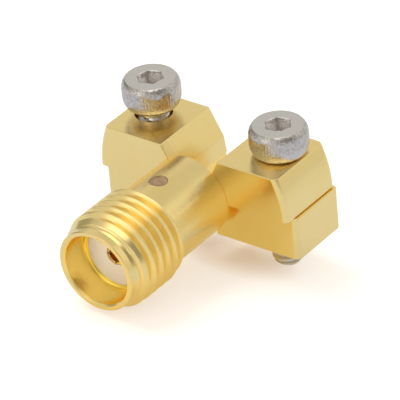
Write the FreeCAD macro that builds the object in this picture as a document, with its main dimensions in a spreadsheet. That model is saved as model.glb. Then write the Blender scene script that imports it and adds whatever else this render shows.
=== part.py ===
import FreeCAD, Part
import math
import os

import Sketcher

# End launch coaxial connector: a threaded barrel along Y with its mouth towards -Y,
# two wings over the board edge and two jaws drawn up under them by a screw each.
# Origin on the barrel axis in the plane where the board edge stops, +Z up, millimetres.

SIZES = [
    ("barrel_length", 9.8, "mouth to board stop"),
    ("nose_length", 0.48, "length of the plain nose in front of the thread"),
    ("lead_length", 0.95, "cone that leads up to the full thread"),
    ("nose_break", 0.06, "broken outer edge of the mouth"),
    ("thread_diameter", 6.35, "coupling thread, over the crests, 1/4-36"),
    ("thread_pitch", 0.7056, "36 threads to the inch"),
    ("thread_depth", 0.43, "crest to root"),
    ("thread_root_flat", 0.12, "width of the root"),
    ("thread_relief", 0.04, "how far the groove profile stands out of the crest"),
    ("thread_lead", 0.05, "start of the groove, in front of the mouth"),
    ("thread_end", 5.12, "board stop to the rear end of the thread"),
    ("barrel_diameter", 5.4, "smooth barrel behind the thread"),
    ("mouth_bore", 4.6, "bore the mating plug enters"),
    ("nose_wall", 0.39, "shell between that bore and the plain nose"),
    ("mouth_chamfer", 0.1, "chamfer round the bore"),
    ("mouth_depth", 2.0, "mouth to reference plane"),
    ("insulator_diameter", 4.1, "dielectric, front part"),
    ("insulator_rear_diameter", 2.95, "dielectric, rear part"),
    ("insulator_rear_length", 1.5, "length of the rear part"),
    ("press_clearance", 0.01, "radial, dielectric in shell, contact in dielectric, plug in hole"),
    ("contact_diameter", 1.27, "socket contact"),
    ("contact_bore", 0.94, "hole for the mating pin"),
    ("contact_bore_depth", 3.0, "depth of that hole"),
    ("contact_slot", 0.14, "width of the four slots"),
    ("contact_slot_length", 2.3, "length of the four slots"),
    ("contact_neck_diameter", 0.9, "contact in the rear part of the dielectric"),
    ("launch_length", 1.5, "launch pin beyond the board stop"),
    ("plug_diameter", 1.18, "captivation plug"),
    ("plug_position", 3.09, "board stop to plug centre"),
    ("plug_floor", 0.8, "height of the plug's lower end over the axis"),
    ("plug_sink", 0.03, "plug below the barrel surface"),
    ("wing_radius", 7.13, "outer face of the wings, about the barrel axis"),
    ("wing_top", 2.93, "flat top of the wings over the axis"),
    ("wing_depth", 5.1, "front to back"),
    ("channel_half", 1.0, "half the channel at its foot"),
    ("channel_knee", 1.165, "half the channel where it starts to flare"),
    ("channel_step", 1.14, "height where the channel starts to flare"),
    ("channel_mouth", 2.14, "half the channel at the top"),
    ("wing_round", 0.4, "rounded outer edges of the wings"),
    ("jaw_setback", 0.69, "wing front to jaw front"),
    ("jaw_inner", 1.11, "axis to inner side of a jaw"),
    ("jaw_overhang", 0.17, "jaw's outer side beyond the wing's outer face"),
    ("jaw_back", 5.15, "board stop to jaw back"),
    ("jaw_height", 2.92, "height of a jaw"),
    ("jaw_gap", 0.03, "clearance between wing and closed jaw"),
    ("jaw_round_front", 0.4, "rounded front edges of a jaw"),
    ("jaw_round_back", 0.32, "rounded back edges of a jaw"),
    ("screw_inset", 2.33, "outer face of the wings to screw"),
    ("screw_position", 2.9, "board stop to screw"),
    ("wing_hole", 2.42, "hole for the screw in a wing"),
    ("jaw_hole", 2.04, "tapped hole in a jaw, over its thread"),
    ("shank_diameter", 1.98, "M2 screw over its thread"),
    ("screw_length", 7.85, "under the head"),
    ("screw_tip", 0.36, "chamfer at the screw's tip"),
    ("head_diameter", 3.72, "screw head"),
    ("head_height", 1.95, "screw head"),
    ("head_round", 0.45, "rounded top edge of the head"),
    ("head_foot", 0.5, "rounded foot of the head"),
    ("socket_width", 1.5, "hex socket across its flats"),
    ("socket_depth", 1.0, "depth of the hex socket"),
    ("seat_clearance", 0.02, "head of the right screw over its wing"),
    ("left_raise", 0.6, "head of the left screw over its wing"),
]

VALUE = {name: size for name, size, note in SIZES}

doc = FreeCAD.newDocument("connector")
os.makedirs("parts", exist_ok=True)

sheet = doc.addObject("Spreadsheet::Sheet", "Dims")
for row, (name, size, note) in enumerate(SIZES, start=1):
    sheet.set("A%d" % row, name)
    sheet.set("B%d" % row, str(size))
    sheet.set("C%d" % row, note)
    sheet.setAlias("B%d" % row, name)
doc.recompute()


def lin(*terms):
    """A length as a sum of sheet sizes: its number now and its formula."""
    number = 0.0
    words = []
    for factor, name in terms:
        number += factor * VALUE[name]
        words.append("(%.12g) * Dims.%s" % (factor, name))
    return number, " + ".join(words)


ZERO = (0.0, None)

# The Sketcher's own numbers for the points of a line or arc, and for its two axes.
START, END, CENTRE = range(1, 4)
AXES, UPRIGHT = -START, -END


def origin_plane(body, role):
    for feature in body.Origin.OriginFeatures:
        if feature.Role == role:
            return feature
    raise RuntimeError("no origin plane " + role)


def new_body(label):
    body = doc.addObject("PartDesign::Body", label)
    body.Label = label
    return body


def new_sketch(body, name, role, offset=None):
    """A sketch on one of the body's origin planes, moved along its normal by offset."""
    sketch = body.newObject("Sketcher::SketchObject", name)
    sketch.AttachmentSupport = [(origin_plane(body, role), "")]
    sketch.MapMode = "FlatFace"
    if offset is not None:
        sketch.AttachmentOffset = FreeCAD.Placement(FreeCAD.Vector(0, 0, offset[0]), FreeCAD.Rotation())
        sketch.setExpression("AttachmentOffset.Base.z", offset[1])
    return sketch


def drive(sketch, kind, refs, length):
    """A dimension of the sketch that follows the sheet."""
    index = sketch.addConstraint(Sketcher.Constraint(kind, *refs, length[0]))
    sketch.setExpression("Constraints[%d]" % index, length[1])


def hold_point(sketch, geo, end, across, up):
    """Hold a point of the sketch at (across, up) from the sketch origin."""
    if across[1] is None:
        sketch.addConstraint(Sketcher.Constraint("PointOnObject", geo, end, UPRIGHT))
    else:
        drive(sketch, "DistanceX", (AXES, START, geo, end), across)
    if up[1] is None:
        sketch.addConstraint(Sketcher.Constraint("PointOnObject", geo, end, AXES))
    else:
        drive(sketch, "DistanceY", (AXES, START, geo, end), up)


def polygon(sketch, points):
    """A closed outline of straight lines with every corner held."""
    first = sketch.GeometryCount
    corners = [FreeCAD.Vector(a[0], b[0], 0) for a, b in points]
    count = len(corners)
    for i in range(count):
        sketch.addGeometry(Part.LineSegment(corners[i], corners[(i + 1) % count]), False)
    for i in range(count):
        after = first + (i + 1) % count
        sketch.addConstraint(Sketcher.Constraint("Coincident", first + i, END, after, START))
    for i, (across, up) in enumerate(points):
        hold_point(sketch, first + i, START, across, up)


def disc(sketch, across, up, diameter):
    """A full circle with its centre held."""
    centre = FreeCAD.Vector(across[0], up[0], 0)
    geo = sketch.addGeometry(Part.Circle(centre, FreeCAD.Vector(0, 0, 1), diameter[0] / 2), False)
    drive(sketch, "Diameter", (geo,), diameter)
    hold_point(sketch, geo, CENTRE, across, up)


def solid(feature, body):
    """Recompute, make the feature the tip and refuse a broken result."""
    body.Tip = feature
    doc.recompute()
    if feature.Shape.isNull() or not feature.Shape.isValid():
        raise RuntimeError("bad shape in " + feature.Name)
    return feature


def revolve(body, name, sketch, axis):
    feature = body.newObject("PartDesign::Revolution", name)
    feature.Profile = sketch
    feature.ReferenceAxis = (sketch, [axis])
    feature.Angle = 360
    sketch.Visibility = False
    return solid(feature, body)


def groove(body, name, sketch, axis):
    feature = body.newObject("PartDesign::Groove", name)
    feature.Profile = sketch
    feature.ReferenceAxis = (sketch, [axis])
    feature.Angle = 360
    return must_cut(feature, body)


def pad(body, name, sketch, length, reverse=False):
    feature = body.newObject("PartDesign::Pad", name)
    feature.Profile = sketch
    feature.Length = length[0]
    feature.setExpression("Length", length[1])
    feature.Reversed = reverse
    return solid(feature, body)


def must_cut(feature, body):
    """A cut has to take something away."""
    before = feature.BaseFeature.Shape.Volume
    solid(feature, body)
    if feature.Shape.Volume > before - 1e-4:
        raise RuntimeError("nothing cut by " + feature.Name)
    return feature


def pocket(body, name, sketch, length=None, reverse=False, midplane=False):
    """A pocket of the given depth, or through everything."""
    base = body.Tip
    feature = body.newObject("PartDesign::Pocket", name)
    feature.Profile = sketch
    feature.BaseFeature = base
    if length is None:
        feature.Type = "ThroughAll"
    else:
        feature.Type = "Length"
        feature.Length = length[0]
        feature.setExpression("Length", length[1])
    feature.Reversed = reverse
    feature.Midplane = midplane
    return must_cut(feature, body)


def edges_where(shape, test):
    return ["Edge%d" % (i + 1) for i, edge in enumerate(shape.Edges) if test(edge)]


def fillet(body, name, test, radius):
    base = body.Tip
    names = edges_where(base.Shape, test)
    if not names:
        raise RuntimeError("no edge found for " + name)
    feature = body.newObject("PartDesign::Fillet", name)
    feature.Base = (base, names)
    feature.Radius = radius[0]
    feature.setExpression("Radius", radius[1])
    return solid(feature, body)


def near(a, b, slack=1e-3):
    return abs(a - b) < slack


def screw_across(side):
    return lin((side, "wing_radius"), (-side, "screw_inset"))


HALF = 0.5

# Connector body: the turned barrel first.
shell = new_body("connector_body")

mouth = lin((-1, "barrel_length"))
nose_radius = lin((HALF, "mouth_bore"), (1, "nose_wall"))
barrel_sketch = new_sketch(shell, "barrel_profile", "YZ_Plane")
polygon(barrel_sketch, [
    (mouth, lin((HALF, "mouth_bore"), (1, "mouth_chamfer"))),
    (mouth, lin((HALF, "mouth_bore"), (1, "nose_wall"), (-1, "nose_break"))),
    (lin((-1, "barrel_length"), (1, "nose_break")), nose_radius),
    (lin((-1, "barrel_length"), (1, "nose_length")), nose_radius),
    (lin((-1, "barrel_length"), (1, "nose_length"), (1, "lead_length")),
     lin((HALF, "thread_diameter"))),
    (lin((-1, "thread_end")), lin((HALF, "thread_diameter"))),
    (lin((-1, "thread_end")), lin((HALF, "barrel_diameter"))),
    (ZERO, lin((HALF, "barrel_diameter"))),
    (ZERO, lin((HALF, "insulator_rear_diameter"), (1, "press_clearance"))),
    (lin((-1, "insulator_rear_length")),
     lin((HALF, "insulator_rear_diameter"), (1, "press_clearance"))),
    (lin((-1, "insulator_rear_length")),
     lin((HALF, "insulator_diameter"), (1, "press_clearance"))),
    (lin((-1, "barrel_length"), (1, "mouth_depth")),
     lin((HALF, "insulator_diameter"), (1, "press_clearance"))),
    (lin((-1, "barrel_length"), (1, "mouth_depth")), lin((HALF, "mouth_bore"))),
    (lin((-1, "barrel_length"), (1, "mouth_chamfer")), lin((HALF, "mouth_bore"))),
])
revolve(shell, "barrel", barrel_sketch, "H_Axis")

# The coupling thread: a groove of its true 60 degree section wound round the barrel.
# It starts in the air before the lead cone and runs out over the smooth barrel.
HALF_ANGLE = math.radians(30)
RUN_OUT = 0.7
slope = math.tan(HALF_ANGLE)
groove_centre = ((-1, "barrel_length"), (-1, "thread_lead"))
half_rim = ((HALF, "thread_root_flat"), (slope, "thread_depth"), (slope, "thread_relief"))
root_radius = lin((HALF, "thread_diameter"), (-1, "thread_depth"))
rim_radius = lin((HALF, "thread_diameter"), (1, "thread_relief"))
thread_sketch = new_sketch(shell, "thread_profile", "YZ_Plane")
polygon(thread_sketch, [
    (lin(*groove_centre, (-HALF, "thread_root_flat")), root_radius),
    (lin(*groove_centre, (HALF, "thread_root_flat")), root_radius),
    (lin(*groove_centre, *half_rim), rim_radius),
    (lin(*groove_centre, *[(-factor, name) for factor, name in half_rim]), rim_radius),
])
thread = shell.newObject("PartDesign::SubtractiveHelix", "coupling_thread")
thread.Profile = thread_sketch
thread.ReferenceAxis = (thread_sketch, ["H_Axis"])
thread.Mode = "pitch-height-angle"
thread_run = lin((1, "barrel_length"), (1, "thread_lead"), (-1, "thread_end"),
                 (RUN_OUT, "thread_pitch"))
thread.Pitch = VALUE["thread_pitch"]
thread.setExpression("Pitch", "Dims.thread_pitch")
thread.Height = thread_run[0]
thread.setExpression("Height", thread_run[1])
thread.Angle = 0
must_cut(thread, shell)

# Wings: one outline on each side, padded back from the board stop plane.
wing_sketch = new_sketch(shell, "wing_profile", "XZ_Plane")
vector = FreeCAD.Vector
radius, top = VALUE["wing_radius"], VALUE["wing_top"]
top_x = math.sqrt(radius * radius - top * top)
rise = math.asin(top / radius)
rim = Part.Circle(vector(0, 0, 0), vector(0, 0, 1), radius)
for side in (1, -1):
    foot_in = vector(side * VALUE["channel_half"], 0, 0)
    foot_out = vector(side * radius, 0, 0)
    crown = vector(side * top_x, top, 0)
    lip = vector(side * VALUE["channel_mouth"], top, 0)
    knee = vector(side * VALUE["channel_knee"], VALUE["channel_step"], 0)
    foot, flat, flare, wall = (
        wing_sketch.addGeometry(Part.LineSegment(begin, finish), False)
        for begin, finish in ((foot_in, foot_out), (crown, lip), (lip, knee), (knee, foot_in))
    )
    if side > 0:
        flank = wing_sketch.addGeometry(Part.ArcOfCircle(rim, 0, rise), False)
        low, high = START, END
    else:
        flank = wing_sketch.addGeometry(Part.ArcOfCircle(rim, math.pi - rise, math.pi), False)
        low, high = END, START
    for pair in (
        (foot, END, flank, low),
        (flank, high, flat, START),
        (flat, END, flare, START),
        (flare, END, wall, START),
        (wall, END, foot, START),
        (flank, CENTRE, AXES, START),
    ):
        wing_sketch.addConstraint(Sketcher.Constraint("Coincident", *pair))
    drive(wing_sketch, "Radius", (flank,), lin((1, "wing_radius")))
    hold_point(wing_sketch, foot, START, lin((side, "channel_half")), ZERO)
    wing_sketch.addConstraint(Sketcher.Constraint("Horizontal", foot))
    wing_sketch.addConstraint(Sketcher.Constraint("Horizontal", flat))
    hold_point(wing_sketch, flat, END, lin((side, "channel_mouth")), lin((1, "wing_top")))
    hold_point(wing_sketch, wall, START, lin((side, "channel_knee")), lin((1, "channel_step")))
pad(shell, "wings", wing_sketch, lin((1, "wing_depth")), reverse=True)

fillet(
    shell,
    "wing_rounds",
    lambda edge: edge.Curve.TypeId == "Part::GeomCircle"
    and near(edge.Curve.Radius, VALUE["wing_radius"])
    and near(abs(edge.Curve.Axis.y), 1),
    lin((1, "wing_round")),
)

hole_sketch = new_sketch(shell, "wing_holes", "XY_Plane", lin((1, "wing_top"), (1, "jaw_gap")))
for side in (1, -1):
    disc(hole_sketch, screw_across(side), lin((1, "screw_position")), lin((1, "wing_hole")))
pocket(shell, "wing_holes_cut", hole_sketch,
       lin((1, "wing_top"), (2, "jaw_gap")))

plug_hole_sketch = new_sketch(shell, "plug_hole", "XY_Plane", lin((HALF, "barrel_diameter"), (1, "jaw_gap")))
disc(plug_hole_sketch, ZERO, lin((-1, "plug_position")),
     lin((1, "plug_diameter"), (2, "press_clearance")))
pocket(shell, "plug_hole_cut", plug_hole_sketch, lin((HALF, "barrel_diameter"), (1, "jaw_gap")))

# Dielectric.
insulator = new_body("dielectric")
insulator_sketch = new_sketch(insulator, "insulator_profile", "YZ_Plane")
face_y = lin((-1, "barrel_length"), (1, "mouth_depth"))
shoulder_y = lin((-1, "insulator_rear_length"), (-1, "press_clearance"))
polygon(insulator_sketch, [
    (face_y, lin((HALF, "contact_diameter"), (1, "press_clearance"))),
    (face_y, lin((HALF, "insulator_diameter"))),
    (shoulder_y, lin((HALF, "insulator_diameter"))),
    (shoulder_y, lin((HALF, "insulator_rear_diameter"))),
    (ZERO, lin((HALF, "insulator_rear_diameter"))),
    (ZERO, lin((HALF, "contact_neck_diameter"), (1, "press_clearance"))),
    (shoulder_y, lin((HALF, "contact_neck_diameter"), (1, "press_clearance"))),
    (shoulder_y, lin((HALF, "contact_diameter"), (1, "press_clearance"))),
])
revolve(insulator, "insulator", insulator_sketch, "H_Axis")
insulator_hole = new_sketch(insulator, "insulator_hole", "XY_Plane",
                            lin((HALF, "insulator_diameter"), (1, "jaw_gap")))
disc(insulator_hole, ZERO, lin((-1, "plug_position")),
     lin((1, "plug_diameter"), (2, "press_clearance")))
pocket(insulator, "insulator_hole_cut", insulator_hole,
       lin((HALF, "insulator_diameter"), (1, "jaw_gap"), (-1, "plug_floor"), (1, "press_clearance")))

# Centre contact.
contact = new_body("centre_contact")
contact_sketch = new_sketch(contact, "contact_profile", "YZ_Plane")
contact_front = lin((-1, "barrel_length"), (1, "mouth_depth"), (1, "press_clearance"))
contact_step = lin((-1, "insulator_rear_length"), (-2, "press_clearance"))
polygon(contact_sketch, [
    (contact_front, lin((HALF, "contact_bore"))),
    (contact_front, lin((HALF, "contact_diameter"))),
    (contact_step, lin((HALF, "contact_diameter"))),
    (contact_step, lin((HALF, "contact_neck_diameter"))),
    (lin((1, "launch_length")), lin((HALF, "contact_neck_diameter"))),
    (lin((1, "launch_length")), ZERO),
    (lin((-1, "barrel_length"), (1, "mouth_depth"), (1, "press_clearance"),
         (1, "contact_bore_depth")), ZERO),
    (lin((-1, "barrel_length"), (1, "mouth_depth"), (1, "press_clearance"),
         (1, "contact_bore_depth")), lin((HALF, "contact_bore"))),
])
revolve(contact, "contact", contact_sketch, "H_Axis")
slot_back = lin((-1, "barrel_length"), (1, "mouth_depth"), (1, "press_clearance"),
                (1, "contact_slot_length"))
slot_front = lin((-1, "barrel_length"), (1, "mouth_depth"), (-1, "contact_slot"))
for name, role in (("slots_upright", "YZ_Plane"), ("slots_level", "XY_Plane")):
    slot_sketch = new_sketch(contact, name, role)
    half_slot = lin((HALF, "contact_slot"))
    minus_half = lin((-HALF, "contact_slot"))
    if role == "YZ_Plane":
        corners = [(slot_front, minus_half), (slot_back, minus_half),
                   (slot_back, half_slot), (slot_front, half_slot)]
    else:
        corners = [(minus_half, slot_front), (half_slot, slot_front),
                   (half_slot, slot_back), (minus_half, slot_back)]
    polygon(slot_sketch, corners)
    pocket(contact, name + "_cut", slot_sketch, lin((1, "contact_diameter"), (2, "press_clearance")),
           midplane=True)

# The launch pin is flat below, so that it lies on the board.
flat_sketch = new_sketch(contact, "launch_flat", "XY_Plane")
polygon(flat_sketch, [
    (lin((-1, "contact_neck_diameter")), lin((1, "press_clearance"))),
    (lin((1, "contact_neck_diameter")), lin((1, "press_clearance"))),
    (lin((1, "contact_neck_diameter")), lin((1, "launch_length"), (1, "press_clearance"))),
    (lin((-1, "contact_neck_diameter")), lin((1, "launch_length"), (1, "press_clearance"))),
])
pocket(contact, "launch_flat_cut", flat_sketch, lin((1, "contact_neck_diameter")))

# Captivation plug.
plug = new_body("captivation_plug")
plug_sketch = new_sketch(plug, "plug_profile", "XY_Plane", lin((1, "plug_floor")))
disc(plug_sketch, ZERO, lin((-1, "plug_position")), lin((1, "plug_diameter")))
pad(plug, "plug", plug_sketch, lin((HALF, "barrel_diameter")))
crown_sketch = new_sketch(plug, "plug_crown", "YZ_Plane")
crown_low = lin((HALF, "barrel_diameter"), (-1, "plug_sink"))
crown_high = lin((1, "barrel_diameter"))
crown_front = lin((-1, "plug_position"), (-1, "plug_diameter"))
crown_back = lin((-1, "plug_position"), (1, "plug_diameter"))
polygon(crown_sketch, [
    (crown_front, crown_low),
    (crown_back, crown_low),
    (crown_back, crown_high),
    (crown_front, crown_high),
])
groove(plug, "plug_crown_cut", crown_sketch, "H_Axis")

# Jaws.
for side, label in ((1, "jaw_right"), (-1, "jaw_left")):
    jaw = new_body(label)
    jaw_sketch = new_sketch(jaw, label + "_outline", "XY_Plane", lin((-1, "jaw_gap")))
    inside = lin((side, "jaw_inner"))
    outside = lin((side, "wing_radius"), (side, "jaw_overhang"))
    front = lin((1, "jaw_setback"))
    back = lin((1, "jaw_back"))
    polygon(jaw_sketch, [(inside, front), (outside, front), (outside, back), (inside, back)])
    pad(jaw, label + "_block", jaw_sketch, lin((1, "jaw_height")), reverse=True)
    for name, depth, key in (("front", "jaw_setback", "jaw_round_front"),
                             ("back", "jaw_back", "jaw_round_back")):
        fillet(
            jaw,
            label + "_" + name,
            lambda edge, depth=depth: near(edge.BoundBox.XLength, 0)
            and near(edge.BoundBox.YLength, 0)
            and near(edge.BoundBox.YMin, VALUE[depth])
            and near(edge.BoundBox.XMin, outside[0]),
            lin((1, key)),
        )
    jaw_hole_sketch = new_sketch(jaw, label + "_hole", "XY_Plane")
    disc(jaw_hole_sketch, screw_across(side), lin((1, "screw_position")), lin((1, "jaw_hole")))
    pocket(jaw, label + "_hole_cut", jaw_hole_sketch, lin((1, "jaw_height"), (2, "jaw_gap")))

# Clamp screws.
# Each screw's socket is turned as it was left by its key, in degrees.
RIGHT_TURN, LEFT_TURN = 9, 19
SIDES = 6
SIXTH = 2 * math.pi / SIDES
CORNER = 1 / math.sqrt(3)
for side, label, lift, turn in ((1, "screw_right", "seat_clearance", RIGHT_TURN),
                                (-1, "screw_left", "left_raise", LEFT_TURN)):
    screw = new_body(label)
    screw_sketch = new_sketch(screw, label + "_profile", "XZ_Plane")
    polygon(screw_sketch, [
        (ZERO, lin((-1, "screw_length"))),
        (lin((HALF, "shank_diameter"), (-1, "screw_tip")), lin((-1, "screw_length"))),
        (lin((HALF, "shank_diameter")), lin((-1, "screw_length"), (1, "screw_tip"))),
        (lin((HALF, "shank_diameter")), ZERO),
        (lin((HALF, "head_diameter")), ZERO),
        (lin((HALF, "head_diameter")), lin((1, "head_height"))),
        (ZERO, lin((1, "head_height"))),
    ])
    revolve(screw, label + "_turned", screw_sketch, "V_Axis")
    fillet(
        screw,
        label + "_crown",
        lambda edge: edge.Curve.TypeId == "Part::GeomCircle"
        and near(edge.Curve.Radius, HALF * VALUE["head_diameter"])
        and near(edge.Curve.Center.z, VALUE["head_height"]),
        lin((1, "head_round")),
    )
    fillet(
        screw,
        label + "_foot",
        lambda edge: edge.Curve.TypeId == "Part::GeomCircle"
        and near(edge.Curve.Radius, HALF * VALUE["head_diameter"])
        and near(edge.Curve.Center.z, 0),
        lin((1, "head_foot")),
    )
    socket_sketch = new_sketch(screw, label + "_socket", "XY_Plane", lin((1, "head_height")))
    polygon(socket_sketch, [
        (lin((CORNER * math.cos(angle), "socket_width")), lin((CORNER * math.sin(angle), "socket_width")))
        for angle in (math.radians(turn) + step * SIXTH for step in range(SIDES))
    ])
    pocket(screw, label + "_socket_cut", socket_sketch, lin((1, "socket_depth")))
    place = (screw_across(side), lin((1, "screw_position")), lin((1, "wing_top"), (1, lift)))
    screw.Placement = FreeCAD.Placement(FreeCAD.Vector(*[p[0] for p in place]), FreeCAD.Rotation())
    for axis, length in zip("xyz", place):
        screw.setExpression("Placement.Base." + axis, length[1])

doc.recompute()

bodies = [obj for obj in doc.Objects if obj.TypeId == "PartDesign::Body"]
for obj in doc.Objects:
    if "Invalid" in obj.State or "Error" in obj.State:
        raise RuntimeError("broken feature " + obj.Name + " " + str(obj.State))
for body in bodies:
    shape = body.Shape
    if shape.isNull() or not shape.isValid() or len(shape.Solids) != 1:
        raise RuntimeError("broken solid " + body.Label)
    shape.exportStep("parts/" + body.Label + ".step")
    box = shape.BoundBox
    print(body.Label, round(shape.Volume, 3), "faces", len(shape.Faces),
          [round(v, 3) for v in (box.XMin, box.XMax, box.YMin, box.YMax, box.ZMin, box.ZMax)])
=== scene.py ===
import math
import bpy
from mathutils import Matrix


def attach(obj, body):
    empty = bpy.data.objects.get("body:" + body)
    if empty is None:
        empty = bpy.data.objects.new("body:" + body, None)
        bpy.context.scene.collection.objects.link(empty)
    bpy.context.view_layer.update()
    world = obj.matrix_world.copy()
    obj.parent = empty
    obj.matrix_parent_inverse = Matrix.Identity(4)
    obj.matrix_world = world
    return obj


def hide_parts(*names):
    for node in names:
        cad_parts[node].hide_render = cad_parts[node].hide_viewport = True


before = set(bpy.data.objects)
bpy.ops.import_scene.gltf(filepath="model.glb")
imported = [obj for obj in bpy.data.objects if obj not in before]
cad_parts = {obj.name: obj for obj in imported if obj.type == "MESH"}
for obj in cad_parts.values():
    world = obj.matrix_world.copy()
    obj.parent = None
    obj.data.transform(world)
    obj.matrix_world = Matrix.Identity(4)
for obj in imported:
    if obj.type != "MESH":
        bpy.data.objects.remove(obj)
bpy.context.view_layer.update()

from types import SimpleNamespace

import bmesh
import bpy
from bpy.props import FloatProperty, FloatVectorProperty, IntProperty, PointerProperty
from bpy.types import Operator, Panel, PropertyGroup
from mathutils import Matrix, Vector

bl_info = {
    "name": "End launch connector dressing",
    "version": (1, 0, 0),
    "blender": (4, 5, 0),
    "location": "View3D > Sidebar > Connector",
    "description": "Dresses the packed shell, insulator, contact, plug, jaws and screws",
    "category": "Add Mesh",
}

# Meshes are drawn in millimetres and shrunk to metres when a piece is finished.
MM = 0.001
TURN = 2 * math.pi
WELD = 1e-4
SEAM = 20 * WELD
UPRIGHT = Matrix.Rotation(TURN / 4, 4, "X")
AROUND_BARREL = 192
AROUND_SCREW = 360
AROUND_SHANK = 72
HOLE_STEPS = 96
WING_ARC_STEPS = 26
EDGE_ANGLES = (0, 30, 60, 90)
DRILL_POINT = 0.25

PLATING_ROUGHNESS = 0.19
CONTACT_ROUGHNESS = 0.16
WHITE = (1, 1, 1)
DAYLIGHT = 0.80
# Gold inside the bore mirrors itself more often than the default number of bounces.
GLOSSY_BOUNCES = 10

# The table as the camera sees it: how much of it glows, and a painted shadow where it
# glows less and redder, in an oval right under the connector that is twice as wide as
# it is deep.
GLOW_STRENGTH = 1.42
GLOW_SHARE = 0.42
PAINTED_SHADOW_SHARE = 0.22
PAINTED_SHADOW_MIDDLE = (1.6, 1.3)
PAINTED_SHADOW_STRETCH = 2.0
PAINTED_SHADOW_REACH = (0.8, 2.5)
# The table as metal mirrors it: how much is sheen, and painted warm light in a strip
# under the barrel.
SHEEN_STRENGTH = 0.79
MIRROR_SHARE = 0.62
GLEAM_MIDDLE = 1.5
BARREL_GLEAM = (3.0, 7.5)

# The room as metal mirrors it: walls, the dim gap over them, and spots of light or
# shade with their direction, inner and outer reach, and how much brighter they are.
HORIZON_LIGHT = 0.80
WALL_LIGHT = 0.83
GAP_LIGHT = 0.16
GAP_HEIGHT = 0.755
SOFT_SPOTS = (
    ((0.15, -0.15, 0.97), 0.25, 0.60, 0.95),
    ((-0.22, -0.91, 0.35), 0.20, 0.40, 0.65),
    ((0.80, -0.20, 0.38), 0.25, 0.55, -0.45),
    ((0.53, -0.66, 0.53), 0.15, 0.35, -0.30),
    ((0.58, 0.66, 0.48), 0.20, 0.50, 0.15),
    ((-0.95, 0.05, 0.05), 0.50, 0.75, -0.40),
)

# Soft boxes: name, place in metres, width, height and watts.
LAMPS = (
    ("upper_left", (-0.20, 0.04, 0.36), 0.26, 0.26, 0.94),
    ("front", (-0.10, -0.42, 0.16), 0.24, 0.24, 0.32),
    ("right_back", (0.30, 0.24, 0.26), 0.22, 0.26, 0.10),
)
# What the camera aims at, and how far the table stands under the connector.
AIM = (0.48, 0.12, -0.33)
FLOOR_GAP = 0.01


# Sizes and colours that a user may change.


def length(name, size):
    return FloatProperty(name=name, default=size * MM, unit="LENGTH", precision=5)


def colour(name, rgb):
    return FloatVectorProperty(name=name, default=rgb, size=3, subtype="COLOR", min=0, max=1)


def degrees(name, value):
    return FloatProperty(name=name, default=math.radians(value), subtype="ANGLE")


class BarrelSizes(PropertyGroup):
    barrel_length: length("Barrel, mouth to board stop", 9.8)
    nose_diameter: length("Diameter of the plain nose", 5.38)
    nose_length: length("Length of the plain nose", 0.48)
    lead_length: length("Cone up to the full thread", 0.95)
    nose_break: length("Broken outer edge of the mouth", 0.06)
    thread_diameter: length("Coupling thread over its crests", 6.35)
    thread_pitch: length("Thread pitch", 0.7056)
    thread_depth: length("Thread depth, crest to root", 0.43)
    root_flat: length("Width of the thread's root", 0.12)
    thread_softness: length("Rounding of crests and roots", 0.035)
    groove_lead: length("Start of the groove in front of the mouth", 0.05)
    thread_end: length("Board stop to the thread's rear end", 5.12)
    end_break: length("Broken edge at the thread's rear end", 0.05)
    collar_diameter: length("Smooth barrel behind the thread", 5.4)
    bore: length("Bore that the mating plug enters", 4.6)
    bore_chamfer: length("Chamfer round the bore", 0.1)
    bore_depth: length("Mouth to reference plane", 2.0)
    seat_diameter: length("Inside of the shell round the insulator", 4.12)
    seat_round: length("Rounded corner at the bottom of the bore", 0.09)
    rear_diameter: length("Rear opening of the shell", 2.97)
    rear_length: length("Length of the rear opening", 1.5)


class WingSizes(PropertyGroup):
    radius: length("Radius of the outer face about the barrel axis", 7.13)
    top: length("Flat top over the axis", 2.93)
    depth: length("Wing, front to back", 5.1)
    foot_half: length("Half the channel at its foot", 1.0)
    knee_half: length("Half the channel where it starts to flare", 1.165)
    knee_height: length("Where the channel starts to flare", 1.14)
    mouth_half: length("Half the channel at the top", 2.14)
    front_round: length("Rounded outer edge at the front", 0.4)
    back_round: length("Rounded outer edge at the back", 0.4)
    edge_round: length("All other edges of a wing", 0.06)
    hole: length("Hole for the screw", 2.42)


class JawSizes(PropertyGroup):
    front: length("Board stop to jaw front", 0.69)
    back: length("Board stop to jaw back", 5.15)
    inner: length("Axis to the inner side", 1.11)
    outer: length("Axis to the outer side", 7.3)
    gap: length("Clearance under the wing", 0.03)
    height: length("Height of a jaw", 2.92)
    front_round: length("Rounded upright edge at the front", 0.4)
    back_round: length("Rounded upright edge at the back", 0.32)
    edge_round: length("Top and bottom edges", 0.07)
    hole: length("Tapped hole over its thread", 2.04)


class InnerSizes(PropertyGroup):
    insulator_diameter: length("Dielectric, front part", 4.1)
    insulator_rear: length("Dielectric, rear part", 2.95)
    insulator_round: length("Edge of the dielectric", 0.04)
    clearance: length("Clearance between the pressed pieces", 0.01)
    contact_diameter: length("Socket contact", 1.27)
    contact_bore: length("Hole for the mating pin", 0.94)
    contact_depth: length("Depth of the pin's hole", 3.0)
    slot_width: length("Width of the contact's slots", 0.14)
    slot_length: length("Length of the contact's slots", 2.3)
    neck_diameter: length("Contact in the rear part", 0.9)
    launch_length: length("Pin beyond the board stop", 1.5)
    plug_diameter: length("Captivation plug", 1.18)
    plug_position: length("Board stop to plug centre", 3.09)
    plug_floor: length("Lower end of the plug over the axis", 0.8)
    plug_sink: length("Plug below the barrel surface", 0.03)


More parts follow.
